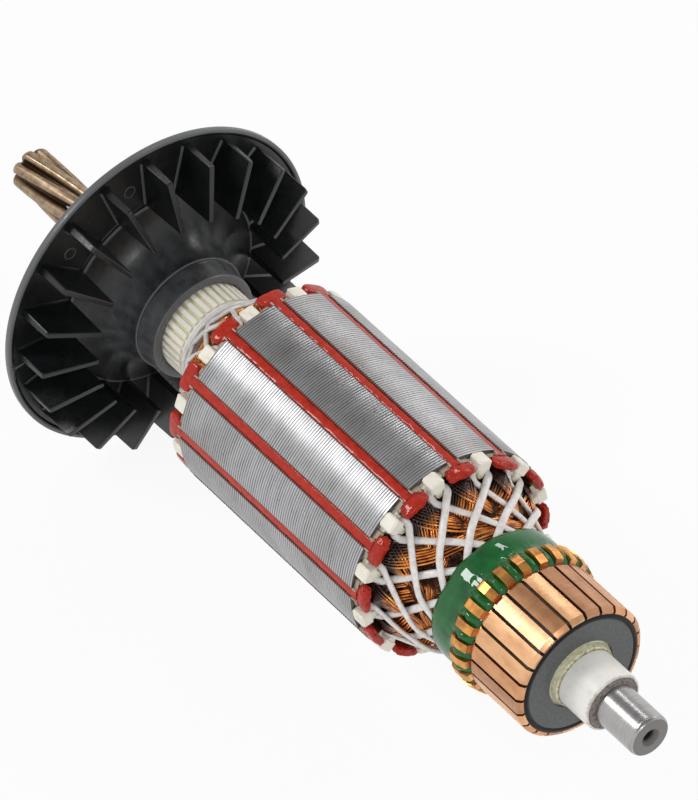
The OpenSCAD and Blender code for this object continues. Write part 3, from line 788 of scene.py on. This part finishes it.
def resin_strip(shape, seed, turn):
    """The resin in a slot mouth, a little uneven in width and height."""
    across = (-1.0, -0.85, -0.45, 0.0, 0.45, 0.85, 1.0)
    sunk_half = 0.98
    upper, lower = core_r - 0.6, core_r - 1.3
    low, high = core_rear - 1.2, core_front + 1.2
    steps = 120
    rings = []
    for k in range(steps + 1):
        x = low + (high - low) * k / steps
        wander = 0.06 + 0.07 * noise.noise(Vector((x * 0.35, seed * 7.3, 0.0)))
        half = 0.80 + 0.10 * noise.noise(Vector((x * 0.9, seed * 3.1, 5.0)))
        ring = []
        for a in across:
            ripple = noise.noise(Vector((x * 1.1, a * 1.5, seed * 2.7)))
            height = core_r - 0.20 - 0.05 * a ** 4 + 0.06 * ripple
            ring.append(beside(x, height, a * half + wander, turn))
        for height, side in ((upper, 1), (lower, 1), (lower, -1), (upper, -1)):
            ring.append(beside(x, height, side * sunk_half, turn))
        rings.append(ring)
    shape.skin(rings)


def resin_head(shape, x, way, turn, seed, full):
    """A T-shaped head of resin where a wedge leaves the core; full is 1 swollen, 0 flat."""
    rows, columns = 26, 40
    reach = wedge_reach - 0.1
    thick = 0.58 + 0.20 * full
    square = 0.42 + 0.20 * full
    # Bar, middle and shank: half length, half width, half height, station and depth
    parts = ((reach * 0.36, 2.65, thick, reach * 0.61, 0.20 + thick),
             (reach * 0.30, 1.80, thick * 0.9, reach * 0.40, 0.22 + thick),
             (reach * 0.46, 1.20, thick * 0.8, reach * 0.32, 0.22 + thick))
    for part, (long_half, wide_half, high_half, middle, sink) in enumerate(parts):
        rings = []
        for j in range(1, rows):
            tilt = math.pi * j / rows
            ring = []
            for k in range(columns):
                around = 2 * math.pi * k / columns
                ball = (-math.cos(tilt), math.sin(tilt) * math.cos(around),
                        math.sin(tilt) * math.sin(around))
                u, v, w = (math.copysign(abs(c) ** square, c) for c in ball)
                place = Vector((u * 1.2 + seed * 3.7, v * 1.9, w * 1.2 + part))
                grow = 1 + full * (0.16 * noise.noise(place) + 0.12 * noise.noise(place * 2.9))
                sag = full * v * v * 0.30
                ring.append(beside(x + way * (middle + u * long_half * grow),
                                   core_r - sink + w * high_half * grow - sag,
                                   v * wide_half * grow, turn))
            rings.append(ring)
        shape.skin(rings)


def resin_wedges(material):
    """A wedge in each slot: strip and heads, full and lumpy in front, flatter behind."""
    for i, (node, turn) in enumerate(zip(wedge_names, slot_turns)):
        shape = Shape()
        resin_strip(shape, i, turn)
        resin_head(shape, core_front, 1, turn, i + 1, 1.0)
        resin_head(shape, core_rear, -1, turn, i + 31, 0.25)
        piece = shape.piece(f"resin_{node}", material, "red_wedge", sharp=70)
        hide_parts(node)


# ---- Winding ----

def front_rest(u):
    """Radius at which the lower cords lie on the front coil ends, u from the core."""
    return 15.3 - 0.345 * (u - 3)


def rear_rest(u):
    """The same for the rear coil ends, which fall off faster."""
    return 15.3 - 0.62 * (u - 3)


def coil_strands(shape, face, way, rest, start, layer, reach, chance):
    """The strands of one coil end: out of a slot, round the shaft and into the fifth slot on.

    A station has its distance from the core, its turn from the slot, its radius (None where
    the coil lies on the others) and the half width of the coil.
    """
    span = 5 * slot_pitch
    half = [(0.8, 0.0, 17.3, 2.2), (2.7, 0.4, 17.35, 2.3), (4.1, 3.0, 16.55, 2.3),
            (5.4, 8.0, 15.3, 2.2), (0.58 * reach + 0.9, 17.0, None, 2.1),
            (0.82 * reach, 31.0, None, 1.9), (0.95 * reach, 50.0, None, 1.75),
            (reach, span / 2, None, 1.7)]
    stations = half + [(u, span - a, r, w) for u, a, r, w in reversed(half[:-1])]
    count = 10
    wire_r = 0.2
    shared = [chance.uniform(-1, 1) for _ in range(2)]
    for k in range(count):
        t = (k / (count - 1) - 0.5) * 2
        stray = 3.0 if chance.random() < 0.12 else 1.0
        drift = [chance.uniform(-1, 1) for _ in range(4)]
        points = []
        for i, (u, a, r, w) in enumerate(stations):
            place = i / (len(stations) - 1)
            sway = 0.25 * shared[0] * math.sin(5 * place + shared[1] * 3)
            sway += 0.09 * stray * drift[0] * math.sin(6 * place + drift[1] * 3)
            crown = 0.55 * (1 - t * t) + 0.05 * (stray - 1)
            radius = (rest(u) - 0.75 - layer if r is None else r - 0.5 - layer * 0.3) + crown
            radius += 0.05 * drift[2] * math.sin(9 * place + drift[3] * 3)
            slope = slant(stations, i, radius)
            off = t * w + sway
            points.append(at(face + way * (u - off * slope[0]), radius,
                             start + a + math.degrees(off * slope[1] / radius)))
        shape.tube(smooth_path(points, 3), wire_r, wire_r, 6, start * 7 + k * 1.7)


def slant(stations, i, radius):
    """How a sideways step off the path splits into a step along the shaft and one round it."""
    before, after = stations[max(i - 1, 0)], stations[min(i + 1, len(stations) - 1)]
    along = after[0] - before[0]
    around = math.radians(after[1] - before[1]) * radius
    length = math.hypot(along, around)
    return around / length, along / length


def overhang(name, face, way, rest, reach, material):
    """All coil ends at one end of the core, the later coils over the earlier ones."""
    shape = Shape()
    chance = random.Random(12 if way > 0 else 34)
    opposite = len(slot_turns) // 2
    order = [i + side for i in range(opposite) for side in (0, opposite)]
    for rank, i in enumerate(order):
        layer = 1.25 * (1 - rank / (len(order) - 1))
        shorter = 2.6 * ((rank * 5) % 12) / 11
        coil_strands(shape, face, way, rest, slot_turns[i], layer, reach - shorter, chance)
    shape.piece(name, material, "enamelled_wire", sharp=80)


# ---- Lacing ----

def bight_points(face, way, post, neck_u, neck_r, rest, up_turn, down_turn, under):
    """One bight of cord: from the neck of the leads to a post, round the post, and back."""

    def spot(u, radius, turn):
        """A point by its distance from the core, its radius and its turn from the post."""
        return at(face + way * u, radius, post + turn)

    def strung(start, stop, t, layers):
        """A point on the straight line, lifted on to the coils where it would cut them."""
        point = start.lerp(stop, t)
        radius = math.hypot(point.y, point.z) / MM
        lift = max(1.0, (rest(way * (point.x / MM - face)) + layers * cord_r) / radius)
        return Vector((point.x, point.y * lift, point.z * lift))

    over = 2.6
    high = spot(neck_u - 0.8, neck_r, up_turn)
    low = spot(neck_u - 0.8, neck_r, -down_turn)
    left = spot(2.8, 16.9, -5.0)
    right = spot(2.8, 16.2, 5.0)
    upper = [strung(high, left, t, over) for t in (0.25, 0.5, 0.72, 0.88)]
    loop = [left, spot(1.6, 17.2, -4.4), spot(1.5, 17.3, 0), spot(1.6, 17.1, 4.4), right]
    lower = [strung(right, low, t, under) for t in (0.12, 0.28, 0.5, 0.75)]
    return [spot(neck_u, neck_r, up_turn), high, *upper, *loop, *lower, low,
            spot(neck_u, neck_r, -down_turn)]


def lacing(name, node, face, way, neck_u, neck_r, rest, turns, under, rounds, half_wide, material):
    """The lacing of one end: a bight round every post and rounds of cord at the neck.

    The turns are those of the upper and the lower cord from the post to the neck; under is
    the height of the lower cord over the coils, in cord radii.
    """
    round_pitch = 1.08
    shape = Shape()
    for i, post in enumerate(tooth_turns):
        path = smooth_path(bight_points(face, way, post, neck_u, neck_r, rest, *turns, under), 8)
        wide = lambda t, i=i: half_wide + 0.06 * noise.noise(Vector((t * 14, i * 5.0, 0)))
        high = lambda t, i=i: 0.42 + 0.04 * noise.noise(Vector((t * 17, i * 5.0, 9)))
        shape.tube(path, wide, high, 12)
    for turn in range(rounds):
        middle = face + way * (neck_u + turn * round_pitch)
        ring = [(middle + 0.56 * math.cos(a), neck_r + 0.5 * math.sin(a))
                for a in (math.radians(30 * k) for k in range(12))]
        shape.turned(ring, 96, warp=lambda x, r, t: (x, r + 0.03 * math.sin(math.radians(t * 7))),
                     closed_profile=True)
    piece = shape.piece(name, material, "waxed_cord", sharp=80)
    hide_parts(node)


# ---- Varnish ----

def varnish_piece(material):
    """The varnish over the leads: a smooth crown, strands before the hooks, beads between them."""
    low, hooks = neck - 0.1, hub_rear + 0.4
    hook_len = 4.85
    crown = [(low + u / 2, 13.28 - 0.028 * (u / 2 - 2.6) ** 2) for u in range(2, 10)]
    profile = [(low + 0.15, 12.3), (low, 12.8), (low + 0.1, 13.0), (low + 0.4, 13.14), *crown,
               (hooks, 13.18), (hooks + 0.8, 13.3), (hooks + 1.6, 13.35), (hooks + 2.6, 13.4),
               (hooks + 3.6, 13.35), (hooks + 4.4, 13.1), (hooks + hook_len, 12.5)]

    def warp(x, radius, turn):
        """A wavy rear edge, then strands, then beads between the hooks and hollows at them."""
        edge = max(0.0, 1 - (x - low) / 2.2)
        wave = ring_noise(turn, 2.2, 3.0)
        lump = ring_noise(turn, 7, x * 0.8)
        strand = ring_noise(turn, 24, x * 1.7)
        at_hook = math.cos(math.radians((turn - bar_turns[0]) * 360 / bar_pitch))
        along = min(1.0, max(0.0, (x - hooks) / hook_len))
        bead = math.sin(math.pi * along) ** 0.7 * max(0.0, -at_hook) ** 0.7 * (0.75 + 0.6 * lump)
        sunk = -0.15 * min(1.0, along * 5) * max(0.0, at_hook)
        messy = min(1.0, max(0.0, (x - low - 3.3) / 0.8)) * (1 - min(1.0, along * 4))
        uneven = 0.10 * strand * messy + 0.08 * lump * min(1.0, along * 8)
        return x + edge * 0.55 * max(wave, -0.2), radius + uneven + bead + sunk

    shape = Shape()
    shape.turned(profile, 384, warp)
    piece = shape.piece("varnish_coat", material, "green_varnish", sharp=70)
    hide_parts("varnish_ring")


# ---- Studio ----

def camera():
    """The photograph's view: long lens, above and beside the commutator end."""
    right = Vector((0.598, 0.8014, 0.0))
    up = Vector((-0.5455, 0.4071, 0.7326))
    back = Vector((0.5871, -0.4381, 0.6807))
    data = bpy.data.cameras.new("camera")
    data.lens = 362.4
    data.sensor_width = 36
    data.clip_start = 0.1
    data.clip_end = 20
    distance = 1.3592
    shift_right, shift_up = -0.01628, 0.02514
    thing = new_object("camera", data)
    target = Vector((core_front * MM, 0, 0)) + right * shift_right + up * shift_up
    thing.location = target + back * distance
    thing.rotation_mode = "QUATERNION"
    thing.rotation_quaternion = back.to_track_quat("Z", "Y")
    bpy.context.scene.camera = thing


def soft_box(name, place, size, power, colour=(1, 1, 1)):
    """A rectangular lamp turned to the armature, its first side along the shaft."""
    target = (-0.055, 0, 0)
    data = bpy.data.lights.new(name, "AREA")
    data.shape = "RECTANGLE"
    data.size, data.size_y = size
    data.energy = power
    data.color = colour
    thing = new_object(name, data)
    thing.location = place
    thing.rotation_mode = "QUATERNION"
    back = (Vector(place) - Vector(target)).normalized()
    long_way = (Vector((1, 0, 0)) - back * back.x).normalized()
    thing.rotation_quaternion = Matrix((long_way, back.cross(long_way), back)).transposed().to_quaternion()


def world_range(tree, value, low, high, to_low, to_high):
    """A Map Range node in the world's tree; its ends may be sockets."""
    node = tree.nodes.new("ShaderNodeMapRange")
    for key, part in enumerate((value, low, high, to_low, to_high)):
        feed(tree, node.inputs[key], part)
    return node.outputs[0]


def studio():
    """Surroundings that are white to the camera, and four soft lamps."""
    world = bpy.data.worlds.new("studio")
    bpy.context.scene.world = world
    world.use_nodes = True
    tree = world.node_tree
    background = tree.nodes["Background"]
    background.inputs["Color"].default_value = (1, 1, 1, 1)
    rays = tree.nodes.new("ShaderNodeLightPath")
    heading = tree.nodes.new("ShaderNodeTexCoord")
    split = tree.nodes.new("ShaderNodeSeparateXYZ")
    tree.links.new(heading.outputs["Generated"], split.inputs[0])
    dome = world_range(tree, split.outputs["Z"], 0.30, 0.75, 1.05, 0.34)
    level = world_range(tree, rays.outputs["Is Camera Ray"], 0, 1, dome, 1.0)
    tree.links.new(level, background.inputs["Strength"])

    soft_box("key_light", (-0.45, -0.40, 0.50), (0.18, 0.14), 1.5)
    soft_box("back_light", (-0.45, 0.27, 0.54), (0.10, 0.07), 0.25)
    soft_box("front_light", (0.55, -0.20, 0.42), (0.12, 0.12), 0.8)
    soft_box("side_light", (-0.10, 0.60, 0.45), (0.35, 0.25), 1.1, (1.0, 0.94, 0.89))


def floor_piece(material):
    """A flat floor just under the rim of the fan."""
    half_side = 2.5
    middle_x = -0.05
    level = -(fan_r + 0.15) * MM
    corners = [Vector((middle_x + x * half_side, y * half_side, level))
               for x, y in ((-1, -1), (1, -1), (1, 1), (-1, 1))]
    mesh = bpy.data.meshes.new("floor")
    mesh.from_pydata(corners, [], [(0, 1, 2, 3)])
    mesh.materials.append(material)
    thing = new_object("floor", mesh)


def floor_look():
    """White floor: mostly plain white to the camera, so the shadow on it stays faint."""
    look = Look("studio_floor", (0.86, 0.86, 0.86), roughness=0.9)
    glow = look.add("Emission", inputs={"Color": (1, 1, 1, 1), "Strength": 1.0})
    rays = look.add("LightPath")
    seen = look.maths("MAXIMUM", rays.outputs["Is Camera Ray"], rays.outputs["Is Glossy Ray"])
    plain_share = 0.92
    share = look.times(seen, plain_share)
    blend = look.add("MixShader", inputs={0: share, 1: look.shader.outputs[0], 2: glow.outputs[0]})
    feed(look.tree, look.tree.nodes["Material Output"].inputs["Surface"], blend.outputs[0])
    return look.material


# ---- The armature ----

def dress(name, material):
    """Gives a CAD node its material."""
    data = nodes[name].data
    data.materials.clear()
    data.materials.append(material)


resin = resin_look()
ivory = insulator_look()
wire = wire_look()
cord = cord_look()

dress("lamination_stack", lamination_look())
dress("slot_liners", liner_look())
dress("winding", winding_core_look())
dress("commutator_hub", hub_look())
dress("adhesive_ring", adhesive_look())
dress("shaft_sleeve", sleeve_look())
coppers = [copper_look("bar_copper_rose", (0.70, 0.355, 0.175)),
           copper_look("bar_copper_pale", (0.84, 0.495, 0.265)),
           copper_look("bar_copper_brown", (0.54, 0.275, 0.155))]
for number, name in enumerate(bar_names):
    dress(name, coppers[(number * 2 + number // 5) % 3])

fan_piece(fan_look())
shaft_piece(shaft_look())
pinion_piece(pinion_look())
insulator_piece("front_insulator", "front_end_insulator", core_front, 1, ivory)
insulator_piece("rear_insulator", "rear_end_insulator", core_rear, -1, ivory)
resin_wedges(resin)
hub_bead(bead_look())
overhang("front_strands", core_front, 1, front_rest, 12.2, wire)
overhang("rear_strands", core_rear, -1, rear_rest, 11.6, wire)
lacing("front_lacing", "front_lacing_cord", core_front, 1, neck - core_front + cord_r, 12.3,
       front_rest, (45, 32), under=0.7, rounds=2, half_wide=0.70, material=cord)
lacing("rear_lacing", "rear_lacing_cord", core_rear, -1, core_rear - rear_neck - 3 * cord_r, 9.0,
       rear_rest, (40, 14), under=1.9, rounds=1, half_wide=0.47, material=cord)
varnish_piece(varnish_look())

studio()
floor_piece(floor_look())
camera()
bpy.context.scene.view_settings.view_transform = "Standard"
